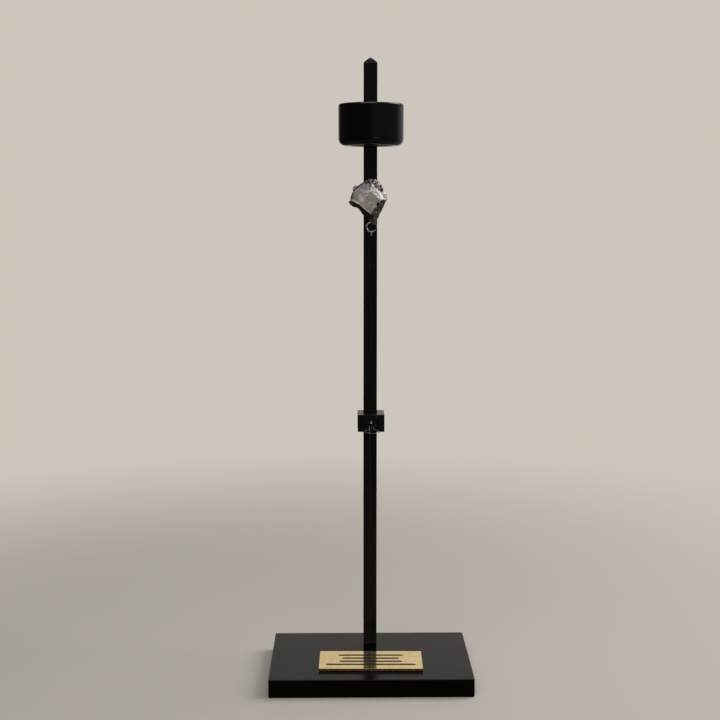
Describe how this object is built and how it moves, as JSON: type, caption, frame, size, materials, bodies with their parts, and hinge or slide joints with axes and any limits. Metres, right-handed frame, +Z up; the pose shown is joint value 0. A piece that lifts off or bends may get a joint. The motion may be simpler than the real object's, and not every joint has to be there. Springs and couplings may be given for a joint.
{
  "type": "meteorite on stand",
  "caption": "Lump of meteoric iron floating on a taut thread under a magnet drum, on a square rod with a sliding clamp, a black base and a small brass plate.",
  "frame": {"origin": "centre of the base's underside, on the surface that the stand rests on", "axes": "+Z up along the rod, -Y towards the viewer, on the side of the plate and the stone"},
  "size_m": [0.15, 0.1, 0.462],
  "materials": {
    "base_lacquer": "satin black lacquer",
    "black_paint": "semi-gloss black paint",
    "drum_gloss": "gloss black",
    "magnet": "ground ferrite, matte",
    "dark_steel": "blackened",
    "bright_steel": "bright",
    "meteoric_iron": "sawn and polished faces, dark fusion crust elsewhere",
    "silver": "polished silver wire",
    "nylon": "clear nylon monofilament",
    "brass": "polished, with black filled grooves"
  },
  "bodies": {
    "root": {"base_plate": "base_lacquer", "foot_screw": "dark_steel", "rod": "black_paint", "magnet_drum": "drum_gloss", "magnet": "magnet", "drum_screw": "dark_steel", "clamp_block": "black_paint", "clamp_screw": "bright_steel", "meteorite": "meteoric_iron", "ring": "silver", "upper_thread": "nylon", "lower_thread": "nylon", "thread_tail": "nylon", "thread_coil": "nylon", "name_plate": "brass"}
  },
  "joints": []
}
